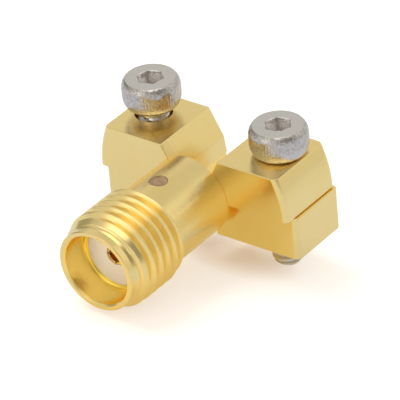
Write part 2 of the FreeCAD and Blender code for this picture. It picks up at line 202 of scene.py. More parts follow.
class ScrewSizes(PropertyGroup):
    spread: length("Axis to screw", 4.8)
    position: length("Board stop to screw", 2.9)
    shank: length("Shank over its thread", 1.98)
    pitch: length("Thread pitch", 0.4)
    thread_depth: length("Thread depth, crest to root", 0.23)
    root_flat: length("Width of the thread's root", 0.06)
    thread_softness: length("Rounding of crests and roots", 0.03)
    under_head: length("Length under the head", 7.85)
    tip: length("Chamfer at the tip", 0.36)
    head: length("Head diameter", 3.72)
    head_height: length("Height of the head", 1.95)
    crown_in: length("Head's wall to the edge of its flat top", 0.27)
    crown_tall: length("Height of the rounded crown", 0.62)
    foot_in: length("Head's wall to the edge of its seat", 0.45)
    foot_tall: length("Height of the rounded foot", 0.85)
    neck: length("Plain shank under the head", 0.7)
    socket: length("Hex socket across its flats", 1.5)
    socket_depth: length("Depth of the hex socket", 1.0)
    socket_edge: length("Broken edge of the socket", 0.05)
    knurl_depth: length("Depth of the straight knurl", 0.012)
    knurl_count: IntProperty(name="Ridges round a head", default=60, min=12, max=120)
    seat: length("Head of the right screw over its wing", 0.02)
    raise_left: length("Head of the left screw over its wing", 0.6)
    turn_right: degrees("How the right socket stands", 9)
    turn_left: degrees("How the left socket stands", 19)


class FinishColours(PropertyGroup):
    gold: colour("Plated shell and jaws", (0.98, 0.765, 0.335))
    gold_deep: colour("Where the plating is a little redder", (0.98, 0.74, 0.30))
    # Painted reflection: a richer gold inside the mouth, for the plating mirroring itself
    # there.
    painted_bore_reflection: colour("Plating inside the mouth", (1.0, 0.79, 0.23))
    contact: colour("Centre contact", (0.95, 0.70, 0.31))
    ptfe: colour("Dielectric", (0.86, 0.75, 0.60))
    resin: colour("Captivation plug", (0.22, 0.125, 0.05))
    resin_light: colour("Flecks in the plug", (0.36, 0.23, 0.11))
    steel: colour("Clamp screws", (0.68, 0.64, 0.61))
    # Painted light: a brighter steel inside the screws' sockets.
    painted_socket_light: colour("Inside the screws' sockets", (0.82, 0.79, 0.77))
    glow: colour("Warm light that the plating throws on the table", (1.0, 0.91, 0.82))
    # Painted shadow: a dimmer, redder glow right under the connector.
    painted_shadow_tint: colour("The same glow right under the connector", (0.96, 0.70, 0.52))
    room: colour("White room as the metal mirrors it", (0.86, 0.86, 0.81))
    sheen: colour("Table as the metal mirrors it", (0.64, 0.71, 0.83))
    # Painted light: a warm glow on the table under the barrel, seen only in the metal.
    gold_light: colour("Table under the barrel, in light off the plating", (0.97, 0.80, 0.37))
    floor: colour("Table under the connector", (0.95, 0.94, 0.93))


class StageSizes(PropertyGroup):
    azimuth: degrees("Camera round the object", 39.17)
    elevation: degrees("Camera over the object", 32.21)
    roll: degrees("Camera about its own axis", -5.44)
    distance: length("Camera to the point it aims at", 250)
    lens: FloatProperty(name="Focal length in millimetres", default=367.8, min=1)
    floor_size: length("Side of the table", 2400)


GROUPS = {
    "barrel": BarrelSizes,
    "wings": WingSizes,
    "jaws": JawSizes,
    "inner": InnerSizes,
    "screws": ScrewSizes,
    "colours": FinishColours,
    "stage": StageSizes,
}


def chosen(name):
    """The settings of one group as plain values, with lengths in millimetres."""
    group = getattr(bpy.context.scene, "connector_" + name)
    values = {}
    for key, prop in group.bl_rna.properties.items():
        if prop.type in {"FLOAT", "INT"}:
            value = getattr(group, key)
            if prop.is_array:
                value = tuple(value)
            values[key] = value / MM if prop.unit == "LENGTH" else value
    return SimpleNamespace(**values)


# Outlines.


def soften(corners, steps=4):
    """A closed outline whose corners (across, up, radius) are rounded to arcs."""
    outline = []
    for index, (across, up, radius) in enumerate(corners):
        corner = Vector((across, up))
        if radius <= 0:
            outline.append(corner)
            continue
        before = Vector(corners[index - 1][:2]) - corner
        after = Vector(corners[(index + 1) % len(corners)][:2]) - corner
        before.normalize()
        after.normalize()
        half = before.angle(after) / 2
        reach = radius / math.tan(half)
        middle = corner + (before + after).normalized() * (radius / math.sin(half))
        first = corner + before * reach - middle
        last = corner + after * reach - middle
        swing = first.angle_signed(last)
        for step in range(steps + 1):
            point = first.copy()
            point.rotate(Matrix.Rotation(-swing * step / steps, 2))
            outline.append(middle + point)
    return outline


def meet(start_a, along_a, start_b, along_b):
    """Where two lines cross."""
    cross = along_a.x * along_b.y - along_a.y * along_b.x
    gap = start_b - start_a
    return start_a + along_a * ((gap.x * along_b.y - gap.y * along_b.x) / cross)


def eased(depth, radius):
    """How far a rounded edge stands back at a depth behind its face."""
    if depth >= radius:
        return 0.0
    return radius - math.sqrt(radius * radius - (radius - depth) ** 2)


def edge_depths(radius, angles):
    """Depths at which a rounded edge is drawn, by angles along its arc."""
    return [radius * (1 - math.cos(math.radians(angle))) for angle in angles]


# Meshes.


def placed(name, data):
    """A new object in the scene."""
    thing = bpy.data.objects.new(name, data)
    bpy.context.scene.collection.objects.link(thing)
    return thing


def kept(name, form):
    """A bmesh as an object in the scene."""
    mesh = bpy.data.meshes.new(name)
    form.to_mesh(mesh)
    form.free()
    return placed(name, mesh)


def closed_mesh(name, build):
    """A mesh object from a bmesh builder, doubles merged and faces turned outwards."""
    form = bmesh.new()
    build(form)
    bmesh.ops.remove_doubles(form, verts=form.verts, dist=WELD)
    bmesh.ops.recalc_face_normals(form, faces=form.faces)
    return kept(name, form)


def skin(form, near, far):
    """Faces between two rings of vertices, also where one ring is a single vertex."""
    for k in range(len(near)):
        after = (k + 1) % len(near)
        distinct = list(dict.fromkeys([near[k], near[after], far[after], far[k]]))
        if len(distinct) > 2:
            form.faces.new(distinct)


def ring(form, along, around, reach):
    """Vertices round the Y axis, their reach a number or a function of the angle, and
    no reach a single vertex."""
    if reach == 0:
        return [form.verts.new((0, along, 0))] * around
    row = []
    for k in range(around):
        angle = TURN * k / around
        radius = reach(angle) if callable(reach) else reach
        row.append(form.verts.new((radius * math.sin(angle), along, radius * math.cos(angle))))
    return row


def turned(form, outline, around, closed=False):
    """Revolves an outline of (along, radius) points about the Y axis."""
    rings = [ring(form, along, around, radius) for along, radius in outline]
    for near, far in zip(rings, rings[1:] + rings[:1] if closed else rings[1:]):
        skin(form, near, far)


def lofted(form, sections):
    """A solid through sections that all have the same number of points."""
    rows = [[form.verts.new(point) for point in section] for section in sections]
    for near, far in zip(rows, rows[1:]):
        skin(form, near, far)
    form.faces.new(rows[0])
    form.faces.new(rows[-1])


def evaluated(piece):
    """Turns the piece's modifiers into a plain mesh."""
    graph = bpy.context.evaluated_depsgraph_get()
    graph.update()
    mesh = bpy.data.meshes.new_from_object(piece.evaluated_get(graph))
    piece.modifiers.clear()
    old = piece.data
    piece.data = mesh
    mesh.name = old.name
    bpy.data.meshes.remove(old)


def cut(piece, tools):
    """Takes the tools' volumes out of the piece."""
    for tool in tools:
        modifier = piece.modifiers.new("cut", "BOOLEAN")
        modifier.object = tool
        modifier.operation = "DIFFERENCE"
        modifier.solver = "EXACT"
    evaluated(piece)
    for tool in tools:
        discard(tool)
    if len(piece.data.polygons) == 0:
        raise RuntimeError("nothing left of " + piece.name)


def discard(piece):
    mesh = piece.data
    bpy.data.objects.remove(piece)
    bpy.data.meshes.remove(mesh)


def pin(name, foot, radius, reach):
    """A closed upright cylinder that stands on its foot, to cut with."""

    def build(form):
        turned(form, [(0, 0), (0, radius), (reach, radius), (reach, 0)], HOLE_STEPS)
        form.transform(Matrix.Translation(foot) @ UPRIGHT)

    return closed_mesh(name, build)


def block(name, low, high):
    """A closed box, to cut with."""

    def build(form):
        bmesh.ops.create_cube(form, size=1)
        form.transform(Matrix.Translation([(a + b) / 2 for a, b in zip(low, high)])
                       @ Matrix.Diagonal([b - a for a, b in zip(low, high)] + [1]))

    return closed_mesh(name, build)


def joined(name, pieces):
    """One object from several."""
    form = bmesh.new()
    for piece in pieces:
        form.from_mesh(piece.data)
        discard(piece)
    return kept(name, form)


def finished(piece, finish, body, node, sharp=35.0):
    """Smooths, shrinks to metres and hands the piece to the frame."""
    mesh = piece.data
    mesh.materials.clear()
    mesh.materials.append(finish)
    mesh.polygons.foreach_set("use_smooth", [True] * len(mesh.polygons))
    mesh.set_sharp_from_angle(angle=math.radians(sharp))
    normals = piece.modifiers.new("weighted", "WEIGHTED_NORMAL")
    normals.keep_sharp = True
    normals.weight = 50
    evaluated(piece)
    piece.data.transform(Matrix.Scale(MM, 4))
    piece.data.update()
    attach(piece, body)
    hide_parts(node)


# Geometry Nodes.


class Formula:
    """A value in a node tree, joined to others by plain arithmetic."""

    def __init__(self, socket):
        self.socket, self.tree = socket, socket.id_data

    def join(self, kind, *others):
        node = self.tree.nodes.new("ShaderNodeMath")
        node.operation = kind
        for slot, value in zip(node.inputs, (self, *others)):
            feed(slot, value)
        return Formula(node.outputs[0])

    def __add__(self, other):
        return self.join("ADD", other)

    def __sub__(self, other):
        return self.join("SUBTRACT", other)

    def __mul__(self, other):
        return self.join("MULTIPLY", other)

    def __truediv__(self, other):
        return self.join("DIVIDE", other)


def feed(slot, value):
    """Links a formula, a node's first output or a socket, or sets a plain value."""
    if isinstance(value, Formula):
        value = value.socket
    elif isinstance(value, bpy.types.Node):
        value = value.outputs[0]
    if isinstance(value, bpy.types.NodeSocket):
        slot.id_data.links.new(value, slot)
    else:
        slot.default_value = value


def put(node, **inputs):
    """Feeds a node's inputs, named with underscores for spaces."""
    for key, value in inputs.items():
        feed(node.inputs[key.replace("_", " ")], value)


def step_node(tree, kind, settings=(), **inputs):
    """A node with its settings and inputs given by name."""
    node = tree.nodes.new(kind)
    for key, value in dict(settings).items():
        setattr(node, key, value)
    put(node, **inputs)
    return node


def xyz(tree, place):
    """The three coordinates of a place."""
    split = step_node(tree, "ShaderNodeSeparateXYZ", Vector=place)
    return [Formula(split.outputs[key]) for key in "XYZ"]


def new_tree(name, **kinds):
    """A geometry node tree with inputs listed by the kind of their sockets, and those
    inputs by lower-case names."""
    tree = bpy.data.node_groups.new(name, "GeometryNodeTree")
    ports = tree.interface
    for kind, keys in kinds.items():
        for key in keys:
            ports.new_socket(key, in_out="INPUT", socket_type="NodeSocket" + kind)
    ports.new_socket("Geometry", in_out="OUTPUT", socket_type="NodeSocketGeometry")
    source = tree.nodes.new("NodeGroupInput")
    return tree, SimpleNamespace(**{port.name.replace(" ", "_").lower(): Formula(port)
                                    for port in source.outputs if port.name})


def end_tree(tree, geometry, finish):
    """Realize Instances, Set Material and the output."""
    real = step_node(tree, "GeometryNodeRealizeInstances", Geometry=geometry)
    painted = step_node(tree, "GeometryNodeSetMaterial", Geometry=real, Material=finish)
    step_node(tree, "NodeGroupOutput", Geometry=painted)


def run_tree(piece, tree, **inputs):
    """Runs a tree on the piece and keeps the result as its plain mesh."""
    modifier = piece.modifiers.new(tree.name, "NODES")
    modifier.node_group = tree
    sockets = {item.name: item.identifier for item in tree.interface.items_tree
               if item.in_out == "INPUT"}
    for key, value in inputs.items():
        modifier[sockets[key.replace("_", " ")]] = value
    evaluated(piece)


def thread_tree():
    """A threaded sleeve about Y: a 60 degree groove wound round it, under a nose,
    a lead cone and a broken rear edge. The grid is sheared to run with the helix."""
    tree, v = new_tree(
        "wound_thread", Int=["Around", "Rows"], Material=["Finish"],
        Float=["Crest", "Root", "Pitch", "Root Flat", "Softness", "Groove", "Front", "Back",
               "Nose", "Nose End", "Lead End", "End Break"])
    grid = step_node(tree, "GeometryNodeMeshGrid", Size_X=1.0, Size_Y=1.0,
                     Vertices_X=v.rows, Vertices_Y=v.around)
    half = 0.5
    run, turn, _ = xyz(tree, tree.nodes.new("GeometryNodeInputPosition"))
    run, turn = run + half, turn + half
    first = v.front - v.pitch
    raw = first + run * (v.back - first)
    sheared = raw + turn * v.pitch
    along = sheared.join("MAXIMUM", v.front).join("MINIMUM", v.back)
    phase = (along - v.groove) / v.pitch - turn
    off_groove = (phase - phase.join("ROUND")).join("ABSOLUTE") * v.pitch
    flank = 1 / math.tan(math.radians(30))
    wall = v.root + (off_groove - v.root_flat * half) * flank
    form = wall.join("SMOOTH_MAX", v.root, v.softness)
    form = form.join("SMOOTH_MIN", v.crest, v.softness)
    climb = (along - v.nose_end) / (v.lead_end - v.nose_end)
    cone = v.nose + climb.join("MAXIMUM", 0.0) * (v.crest - v.nose)
    fall = (along - v.back + v.end_break).join("MAXIMUM", 0.0)
    radius = form.join("SMOOTH_MIN", cone, v.softness * half)
    radius = radius.join("MAXIMUM", v.nose.join("MINIMUM", cone)) - fall
    angle = turn * TURN
    where = step_node(tree, "ShaderNodeCombineXYZ", X=radius * angle.join("SINE"), Y=along,
                      Z=radius * angle.join("COSINE"))
    wound = step_node(tree, "GeometryNodeSetPosition", Geometry=grid, Position=where)
    welded = step_node(tree, "GeometryNodeMergeByDistance", Geometry=wound,
                       Distance=SEAM / 2)
    end_tree(tree, welded, v.finish)
    return tree


def knurl_tree():
    """Straight ridges round the Y axis, fading out towards both ends of the band."""
    tree, v = new_tree(
        "straight_knurl", Geometry=["Geometry"], Int=["Ridges"], Material=["Finish"],
        Float=["Low", "High", "Fade", "Radius", "Depth"])
    x, y, z = xyz(tree, tree.nodes.new("GeometryNodeInputPosition"))
    wave = (x.join("ARCTAN2", z) * v.ridges).join("COSINE")
    bottom = ((y - v.low) / v.fade).join("MINIMUM", 1.0).join("MAXIMUM", 0.0)
    top = ((v.high - y) / v.fade).join("MINIMUM", 1.0).join("MAXIMUM", 0.0)
    outside = (x * x + z * z).join("SQRT")
    wall_share, half = 0.7, 0.5
    on_wall = outside.join("GREATER_THAN", v.radius * wall_share)
    sink = (wave + 1.0) * half * v.depth * bottom * top * on_wall
    shrink = (outside - sink) / outside.join("MAXIMUM", WELD)
    where = step_node(tree, "ShaderNodeCombineXYZ", X=x * shrink, Y=y, Z=z * shrink)
    moved = step_node(tree, "GeometryNodeSetPosition", Geometry=v.geometry, Position=where)
    end_tree(tree, moved, v.finish)
    return tree


# Finishes.


def new_finish(name):
    """A material, its tree and shader, and its object coordinates in millimetres."""
    finish = bpy.data.materials.new(name)
    finish.use_nodes = True
    tree = finish.node_tree
    metres = tree.nodes.new("ShaderNodeTexCoord").outputs["Object"]
    scaled = step_node(tree, "ShaderNodeMapping", Vector=metres, Scale=(1 / MM,) * 3)
    place = Formula(scaled.outputs["Vector"])
    return finish, tree, tree.nodes["Principled BSDF"], place


def noise(place, scale, detail=3.0, stretch=(1, 1, 1)):
    tree = place.tree
    stretched = step_node(tree, "ShaderNodeMapping", Vector=place, Scale=stretch)
    grain = step_node(tree, "ShaderNodeTexNoise", Vector=stretched, Scale=scale,
                      Detail=detail)
    return Formula(grain.outputs["Fac"])


def spread(value, low=0.0, high=1.0, low_in=0.3, high_in=0.7):
    """Carries a value from one range to another, and holds it at that one's ends."""
    node = step_node(value.tree, "ShaderNodeMapRange", Value=value, From_Min=low_in,
                     From_Max=high_in, To_Min=low, To_Max=high)
    return Formula(node.outputs[0])


def blend_colours(factor, first, second):
    """A mix of two colours, each a triple or a socket."""
    first, second = ((*tone, 1) if isinstance(tone, tuple) else tone
                     for tone in (first, second))
    return step_node(factor.tree, "ShaderNodeMix", {"data_type": "RGBA"}, Factor=factor,
                     A=first, B=second).outputs["Result"]


def scaled_tone(tone, *shares):
    """A colour with each part scaled, and held at white."""
    return tuple(min(1.0, share * part) for share, part in zip(shares, tone))


def bumped(tree, shader, heights, depth):
    """Bump from several (height, strength) pairs laid over each other."""
    normal = None
    for height, strength in heights:
        node = step_node(tree, "ShaderNodeBump", Height=height, Strength=strength,
                         Distance=depth)
        if normal is not None:
            put(node, Normal=normal)
        normal = node.outputs["Normal"]
    put(shader, Normal=normal)


def layered(tree, factor, below, above):
    """One shader over another, by a factor."""
    mix = tree.nodes.new("ShaderNodeMixShader")
    for slot, value in zip(mix.inputs, (factor, below, above)):
        feed(slot, value)
    return mix


def plated_gold(name, plain, deep, roughness, painted_bore=None):
    """Smooth gold plating with faint tool marks across the barrel axis, and richer in the bore,
    as a painted reflection of the plating in itself, if one is given by its colour, radius
    and floor."""
    finish, tree, shader, place = new_finish(name)
    tone = blend_colours(spread(noise(place, 0.6)), plain, deep)
    if painted_bore is not None:
        rich, radius, floor = painted_bore
        x, y, z = xyz(tree, place)
        reach = (x * x + z * z).join("SQRT")
        # Painted reflection: inside the bore the plating is tinted a richer gold.
        inside = reach.join("LESS_THAN", radius) * y.join("LESS_THAN", floor)
        tone = blend_colours(inside, tone, rich)
    satin = spread(noise(place, 5.0, 4.0), roughness * 0.85, roughness * 1.12)
    put(shader, Metallic=1.0, Base_Color=tone, Roughness=satin)
    marks = noise(place, 1.0, 2.0, (0.4, 26.0, 0.4))
    grain = noise(place, 14.0, 4.0)
    bumped(tree, shader, [(marks, 0.35), (grain, 0.02)], 0.02 * MM)
    return finish


def polished_steel(name, tone, inside, screws):
    """Stainless steel tumbled smooth, with fine pits, mottled painted shade on the sides of the
    heads, and painted light that brightens the walls inside their sockets."""
    finish, tree, shader, place = new_finish(name)
    x, y, z = xyz(tree, place)
    aside, behind = x.join("ABSOLUTE") - screws.spread, y - screws.position
    reach = (aside * aside + behind * behind).join("SQRT")
    socket_wall, head_wall, over_seat = (0.80, 0.87), (1.56, 1.62), (3.2, 4.0)
    # Painted shade: the heads' sides are darkened by this share, in mottled patches.
    side_shade_scale = (0.64, 0.60, 0.57)
    # Painted light: the walls inside the sockets get the brighter steel.
    socket = spread(reach, 1.0, 0.0, *socket_wall)
    side = spread(reach, 0.0, 1.0, *head_wall) * spread(z, 0.0, 1.0, *over_seat)
    painted_side_shade = side * spread(noise(place, 7.0, 5.0), 0.0, 1.0, 0.30, 0.72)
    outside = blend_colours(painted_side_shade, tone, scaled_tone(tone, *side_shade_scale))
    put(shader, Metallic=1.0, Base_Color=blend_colours(socket, outside, inside),
        Roughness=spread(noise(place, 4.0, 4.0), 0.09, 0.20))
    pits = noise(place, 5.0, 5.0)
    drawn = noise(place, 6.0, 3.0, (1, 1, 0.25))
    bumped(tree, shader, [(pits, 0.75), (drawn, 0.35)], 0.05 * MM)
    return finish


def turned_ptfe(name, tone):
    """White fluoropolymer with the faint rings of its facing cut."""
    finish, tree, shader, place = new_finish(name)
    cloud = spread(noise(place, 0.8))
    put(shader, Roughness=0.45, Specular_IOR_Level=0.35, Subsurface_Weight=0.3,
        Subsurface_Radius=(0.6, 0.45, 0.35), Subsurface_Scale=0.5 * MM,
        Base_Color=blend_colours(cloud, tone, scaled_tone(tone, 1.08, 1.08, 1.08)))
    rings = step_node(tree, "ShaderNodeTexWave",
                      {"wave_type": "RINGS", "rings_direction": "Y"},
                      Vector=place, Scale=4.0, Distortion=0.6).outputs["Fac"]
    grain = noise(place, 6.0, 4.0)
    bumped(tree, shader, [(rings, 0.12), (grain, 0.15)], 0.02 * MM)
    return finish


def cast_resin(name, tone, fleck):
    """Brown epoxy with pale flecks and a slightly uneven, glossy top."""
    finish, tree, shader, place = new_finish(name)
    flecks = spread(noise(place, 5.0, 5.0), 0.0, 1.0, 0.42, 0.68)
    put(shader, Base_Color=blend_colours(flecks, tone, fleck), Roughness=0.32,
        Coat_Weight=0.25, Coat_Roughness=0.12)
    bumped(tree, shader, [(noise(place, 3.0, 4.0), 0.6)], 0.04 * MM)
    return finish


def table_top(name, paint):
    """Pale table. The camera sees part of it as a warm glow, so that only shadows show,
    and metal mirrors it mostly as a part of the room."""
    finish, tree, shader, place = new_finish(name)
    cloud = spread(noise(place, 0.01))
    paler = scaled_tone(paint.floor, 1.01, 1.01, 1.01)
    put(shader, Base_Color=blend_colours(cloud, paint.floor, paler),
        Roughness=0.9, Specular_IOR_Level=0.1)
    x, y, _ = xyz(tree, place)
    # Painted shadow: an oval under the connector where the glow is dimmer and redder.
    wide, deep = (x - PAINTED_SHADOW_MIDDLE[0]) / PAINTED_SHADOW_STRETCH, y - PAINTED_SHADOW_MIDDLE[1]
    out = spread((wide * wide + deep * deep).join("SQRT"), 0.0, 1.0, *PAINTED_SHADOW_REACH)
    # Painted light: a warm strip under the barrel that only metal mirrors.
    gleam = spread((x - GLEAM_MIDDLE).join("ABSOLUTE"), 1.0, 0.0, *BARREL_GLEAM)
    seen = tree.nodes.new("ShaderNodeLightPath")
    surface = shader
    for ray, light, strength, part in (
        ("Is Camera Ray", blend_colours(out, paint.painted_shadow_tint, paint.glow),
         GLOW_STRENGTH, spread(out, PAINTED_SHADOW_SHARE, GLOW_SHARE, 0.0, 1.0)),
        ("Is Glossy Ray", blend_colours(gleam, paint.sheen, paint.gold_light),
         SHEEN_STRENGTH, MIRROR_SHARE),
    ):
        shine = step_node(tree, "ShaderNodeEmission", Color=light, Strength=strength)
        lift = Formula(seen.outputs[ray]) * part
        surface = layered(tree, lift, surface, shine)
    put(tree.nodes["Material Output"], Surface=surface)
    return finish


# The stage.


def lamp(name, where, width, height, watts):
    """A soft box aimed at the object, out of its reflections."""
    light = bpy.data.lights.new(name, "AREA")
    light.shape = "RECTANGLE"
    light.size, light.size_y = width, height
    light.energy = watts
    holder = placed(name, light)
    holder.location = where
    holder.rotation_euler = (-Vector(where)).to_track_quat("-Z", "Y").to_euler()
    holder.visible_glossy = False


def ceiling(tree):
    """How bright metal sees the room by direction: walls, a dimmer gap over them, a
    soft box overhead, a window in front and dark stands at the right and left."""
    way = tree.nodes.new("ShaderNodeTexCoord").outputs["Generated"]
    height = xyz(tree, way)[2]
    from_gap = (height - GAP_HEIGHT).join("ABSOLUTE")
    light = spread(height, HORIZON_LIGHT, WALL_LIGHT, 0.0, 0.30)
    light = light - spread(from_gap, GAP_LIGHT, 0.0, 0.02, 0.09)
    for middle, near, far, more in SOFT_SPOTS:
        off = step_node(tree, "ShaderNodeVectorMath", {"operation": "DISTANCE"}, Vector=way)
        off.inputs[1].default_value = Vector(middle).normalized()
        light = light + spread(Formula(off.outputs["Value"]), more, 0.0, near, far)
    return light


def white_room(world, room):
    """White to the camera, and the room's own white in mirrors and as light."""
    world.use_nodes = True
    tree = world.node_tree
    tree.nodes.clear()
    seen = tree.nodes.new("ShaderNodeLightPath")
    surface = None
    for ray, light, strength in ((None, WHITE, DAYLIGHT),
                                 ("Is Glossy Ray", room, ceiling(tree)),
                                 ("Is Camera Ray", WHITE, 1.0),
                                 ("Is Transmission Ray", WHITE, 1.0)):
        shine = step_node(tree, "ShaderNodeBackground", Color=(*light, 1), Strength=strength)
        surface = layered(tree, seen.outputs[ray], surface, shine) if ray else shine
    step_node(tree, "ShaderNodeOutputWorld", Surface=surface)


def support_plane():
    """A point of the table and its upward normal: the connector leans on the lower rim
    of its nose and on the tips of its two screws."""
    barrel, screws, wings = chosen("barrel"), chosen("screws"), chosen("wings")
    tip = wings.top - screws.under_head
    lead_front = barrel.nose_length - barrel.barrel_length + barrel.lead_length
    nose = Vector((0, lead_front, -barrel.thread_diameter / 2))
    right = Vector((screws.spread, screws.position, tip + screws.seat))
    left = Vector((-screws.spread, screws.position, tip + screws.raise_left))
    normal = (right - nose).cross(left - nose).normalized()
    return nose * MM, normal if normal.z > 0 else -normal


class CONNECTOR_OT_stage(Operator):
    """Camera, lamps, white room and table"""

    bl_idname = "connector.stage"
    bl_label = "Stage"

    def execute(self, context):
        scene = context.scene
        scene.view_settings.view_transform = "Standard"
        scene.cycles.glossy_bounces = GLOSSY_BOUNCES
        sizes, paint = scene.connector_stage, chosen("colours")
        point, up = support_plane()
        side = Vector((1, 0, 0)) - up * up.x
        side.normalize()
        reach = sizes.floor_size / 2
        corners = [point - up * FLOOR_GAP * MM + side * a * reach + up.cross(side) * b * reach
                   for a, b in ((-1, -1), (1, -1), (1, 1), (-1, 1))]
        mesh = bpy.data.meshes.new("table_top")
        mesh.from_pydata([tuple(corner) for corner in corners], [], [(0, 1, 2, 3)])
        mesh.materials.append(table_top("pale_table", paint))
        floor = placed("table_top", mesh)

        a, e = sizes.azimuth, sizes.elevation
        back = Vector((math.sin(a) * math.cos(e), -math.cos(a) * math.cos(e), math.sin(e)))
        lens = bpy.data.cameras.new("camera")
        lens.lens = sizes.lens
        lens.clip_start, lens.clip_end = 0.01, 20
        camera = placed("camera", lens)
        camera.location = Vector(AIM) * MM + back * sizes.distance
        camera.rotation_mode = "QUATERNION"
        look = (-back).to_track_quat("-Z", "Y")
        camera.rotation_quaternion = look @ Matrix.Rotation(sizes.roll, 3, "Z").to_quaternion()
        scene.camera = camera

        if scene.world is None:
            scene.world = bpy.data.worlds.new("room")
        white_room(scene.world, paint.room)
        for soft_box in LAMPS:
            lamp(*soft_box)
        return {"FINISHED"}


# The pieces.


def threaded(name, tree, profiles, around, **sizes):
    """A wound sleeve that turned profiles close into one solid."""
    sleeve = placed("sleeve", bpy.data.meshes.new("sleeve"))
    run_tree(sleeve, tree, Around=around + 1, **sizes)

    def build(form):
        form.from_mesh(sleeve.data)
        for profile in profiles:
            turned(form, profile, around)
        bmesh.ops.remove_doubles(form, verts=form.verts, dist=SEAM)
        rims = [edge for edge in form.edges if edge.is_boundary]
        bmesh.ops.bridge_loops(form, edges=rims)

    piece = closed_mesh(name, build)
    discard(sleeve)
    return piece


def revolved(name, corners, around=AROUND_BARREL):
    """A solid turned about the Y axis from corners with their radii."""
    return closed_mesh(name, lambda form: turned(form, soften(corners), around, True))


def barrel_front(barrel, finish):
    """Nose, lead cone, coupling thread and mouth, down to the seat of the insulator."""
    mouth = -barrel.barrel_length
    front = mouth + barrel.nose_break
    back = -barrel.thread_end
    nose_end = mouth + barrel.nose_length
    rows_each = 26
    turns = (back - front) / barrel.thread_pitch + 1
    bore, seat = barrel.bore / 2, barrel.seat_diameter / 2
    nose = barrel.nose_diameter / 2
    seat_plane = mouth + barrel.bore_depth
    corners = [
        (back, seat, 0),
        (seat_plane, seat, 0.03),
        (seat_plane, bore, barrel.seat_round),
        (mouth + barrel.bore_chamfer, bore, 0.03),
        (mouth, bore + barrel.bore_chamfer, 0.03),
        (mouth, nose - barrel.nose_break, 0.02),
        (front, nose, 0),
    ]
    return threaded(
        "barrel_front", thread_tree(), [soften(corners)], AROUND_BARREL,
        Crest=barrel.thread_diameter / 2,
        Root=barrel.thread_diameter / 2 - barrel.thread_depth, Pitch=barrel.thread_pitch,
        Root_Flat=barrel.root_flat, Softness=barrel.thread_softness,
        Groove=mouth - barrel.groove_lead, Front=front, Back=back, Nose=nose,
        Nose_End=nose_end, Lead_End=nose_end + barrel.lead_length,
        End_Break=barrel.end_break, Rows=int(rows_each * turns) + 1, Finish=finish)


def plug_hole(inner, foot):
    """The room of the captivation plug, from a height over the axis, to cut with."""
    return pin("plug_hole", (0, -inner.plug_position, foot),
               inner.plug_diameter / 2 + inner.clearance, inner.insulator_diameter)


def barrel_collar(barrel, inner):
    """Smooth barrel behind the thread, with the hole of the captivation plug."""
    outer, seat, rear = (barrel.collar_diameter / 2, barrel.seat_diameter / 2,
                         barrel.rear_diameter / 2)
    front = -barrel.thread_end
    collar = revolved("barrel_collar", [
        (front, outer, 0),
        (0, outer, 0.04),
        (0, rear, 0.03),
        (-barrel.rear_length, rear, 0),
        (-barrel.rear_length, seat, 0),
        (front, seat, 0),
    ])
    cut(collar, [plug_hole(inner, 0)])
    return collar


def wing(side, wings, screws):
    """One wing: its outline lofted from front to back, with every edge eased."""
    wall_start = Vector((wings.foot_half, 0))
    knee = Vector((wings.knee_half, wings.knee_height))
    lip = Vector((wings.mouth_half, wings.top))
    wall = (knee - wall_start).normalized()
    flare = (lip - knee).normalized()
    level = Vector((1, 0))

    def outline(outer_back, edge_back):
        radius = wings.radius - outer_back
        low, high = edge_back, wings.top - edge_back
        wall_in = wall_start + Vector((wall.y, -wall.x)) * edge_back
        flare_in = knee + Vector((flare.y, -flare.x)) * edge_back
        foot_in = meet(wall_in, wall, Vector((0, low)), level)
        knee_in = meet(wall_in, wall, flare_in, flare)
        lip_in = meet(flare_in, flare, Vector((0, high)), level)
        first, last = math.asin(low / radius), math.asin(high / radius)
        corners = [(*foot_in, wings.edge_round)]
        for step in range(WING_ARC_STEPS + 1):
            angle = first + (last - first) * step / WING_ARC_STEPS
            ends = step in (0, WING_ARC_STEPS)
            corners.append((radius * math.cos(angle), radius * math.sin(angle),
                            wings.edge_round if ends else 0))
        corners += [(*lip_in, wings.edge_round), (*knee_in, wings.edge_round)]
        return soften(corners, 3)

    def depths(big):
        fine = edge_depths(wings.edge_round, EDGE_ANGLES)
        coarse = [depth for depth in edge_depths(big, range(36, 91, 9))
                  if depth > wings.edge_round]
        return sorted({round(depth, 5) for depth in fine + coarse})

    places = [(depth, depth, wings.front_round) for depth in depths(wings.front_round)]
    places += [(wings.depth - depth, depth, wings.back_round)
               for depth in reversed(depths(wings.back_round))]
    sections = []
    for y, depth, big in places:
        points = outline(eased(depth, big), eased(depth, wings.edge_round))
        sections.append([(side * x, y, z) for x, z in points])
    piece = closed_mesh("wing", lambda form: lofted(form, sections))
    cut(piece, [pin("screw_hole", (side * screws.spread, screws.position, -1),
                    wings.hole / 2, wings.top + 2)])
    return piece


class CONNECTOR_OT_shell(Operator):
    """Gold plated shell: threaded barrel, collar and the two wings"""

    bl_idname = "connector.shell"
    bl_label = "Plated shell"

    def execute(self, context):
        barrel, wings = chosen("barrel"), chosen("wings")
        inner, screws, paint = chosen("inner"), chosen("screws"), chosen("colours")
        # Painted reflection in the bore: a richer gold stands in for the plating mirroring
        # itself.
        painted_bore = (paint.painted_bore_reflection, (barrel.bore + barrel.nose_break) / 2,
                 barrel.bore_depth - barrel.barrel_length + barrel.seat_round)
        finish = plated_gold("shell_plating", paint.gold, paint.gold_deep,
                             PLATING_ROUGHNESS, painted_bore)
        parts = [barrel_front(barrel, finish), barrel_collar(barrel, inner)]
        parts += [wing(side, wings, screws) for side in (1, -1)]
        piece = joined("plated_shell", parts)
        finished(piece, finish, "shell", "connector_body")
        return {"FINISHED"}


